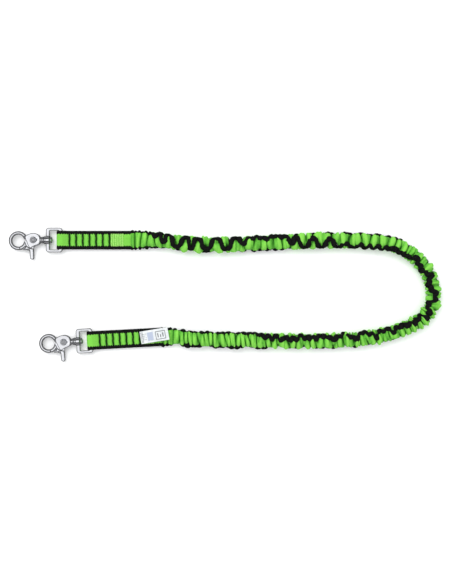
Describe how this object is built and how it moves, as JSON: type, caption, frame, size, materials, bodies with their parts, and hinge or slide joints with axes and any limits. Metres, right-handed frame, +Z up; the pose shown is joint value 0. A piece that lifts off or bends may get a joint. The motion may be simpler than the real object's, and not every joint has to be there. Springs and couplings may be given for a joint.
{
  "type": "shock absorbing lanyard",
  "caption": "Elastic webbing tool lanyard: gathered tubular sleeve over an elastic core, with sewn tape ends, swivel eyes and sprung trigger hooks.",
  "frame": {"origin": "on the floor, below the middle of the box that holds the two hooks, tapes and the label, without the sleeve", "axes": "+X from the hooks towards the bend of the sleeve, +Z up from the floor"},
  "size_m": [0.4662, 0.1444, 0.016],
  "materials": {
    "chrome": "polished",
    "steel": "satin",
    "lime_webbing": "matte",
    "black_thread": "matte",
    "lime_thread": "matte",
    "elastic": "matte",
    "label": "matte"
  },
  "bodies": {
    "sleeve": {"gathered_sleeve": "lime_webbing", "elastic_core": "elastic"},
    "upper_end": {"upper_end_tape": "lime_webbing", "upper_elastic_seam": "lime_thread", "upper_elastic_tail": "elastic", "upper_bar_tack_1": "black_thread", "upper_bar_tack_2": "black_thread", "upper_bar_tack_3": "black_thread", "upper_bar_tack_4": "black_thread", "upper_bar_tack_5": "black_thread", "upper_bar_tack_6": "black_thread", "upper_bar_tack_7": "black_thread"},
    "upper_eye": {"upper_swivel_eye": "chrome"},
    "upper_hook": {"upper_hook_body": "chrome", "upper_swivel_pin": "steel", "upper_pivot_rivet": "steel", "upper_torsion_spring": "steel"},
    "upper_gate": {"upper_trigger": "chrome"},
    "lower_end": {"lower_end_tape": "lime_webbing", "lower_elastic_seam": "lime_thread", "lower_elastic_tail": "elastic", "lower_bar_tack_1": "black_thread", "lower_bar_tack_2": "black_thread", "lower_bar_tack_3": "black_thread", "lower_bar_tack_4": "black_thread", "lower_bar_tack_5": "black_thread", "lower_bar_tack_6": "black_thread", "lower_bar_tack_7": "black_thread", "care_label": "label", "label_seam": "black_thread"},
    "lower_eye": {"lower_swivel_eye": "chrome"},
    "lower_hook": {"lower_hook_body": "chrome", "lower_swivel_pin": "steel", "lower_pivot_rivet": "steel", "lower_torsion_spring": "steel"},
    "lower_gate": {"lower_trigger": "chrome"}
  },
  "joints": [
    {"name": "upper_stretch", "type": "slide", "parent": "sleeve", "child": "upper_end", "axis": [-1, 0, 0], "range_m": [0, 0.19], "stiffness_N_per_m": 150},
    {"name": "upper_eye_swing", "type": "hinge", "parent": "upper_end", "child": "upper_eye", "pos_m": [-0.0313, 0.0589, 0.0044], "axis": [0, 1, 0], "range_deg": [-120, 120]},
    {"name": "upper_swivel", "type": "hinge", "parent": "upper_eye", "child": "upper_hook", "pos_m": [-0.0605, 0.0589, 0.0044], "axis": [1, 0, 0], "continuous": true},
    {"name": "upper_trigger_pull", "type": "hinge", "parent": "upper_hook", "child": "upper_gate", "pos_m": [-0.0605, 0.0589, 0.0044], "axis": [0, 0, 1], "range_deg": [0, 35], "stiffness_Nm_per_rad": 0.12, "springref_deg": -22.92},
    {"name": "lower_stretch", "type": "slide", "parent": "sleeve", "child": "lower_end", "axis": [-0.9986, -0.0523, 0], "range_m": [0, 0.19], "stiffness_N_per_m": 150},
    {"name": "lower_eye_swing", "type": "hinge", "parent": "lower_end", "child": "lower_eye", "pos_m": [0.0014, -0.04968, 0.0044], "axis": [-0.0523, 0.9986, 0], "range_deg": [-120, 120]},
    {"name": "lower_swivel", "type": "hinge", "parent": "lower_eye", "child": "lower_hook", "pos_m": [-0.02776, -0.05121, 0.0044], "axis": [0.9986, 0.0523, 0], "continuous": true},
    {"name": "lower_trigger_pull", "type": "hinge", "parent": "lower_hook", "child": "lower_gate", "pos_m": [-0.02776, -0.05121, 0.0044], "axis": [0, 0, 1], "range_deg": [0, 35], "stiffness_Nm_per_rad": 0.12, "springref_deg": -22.92}
  ]
}
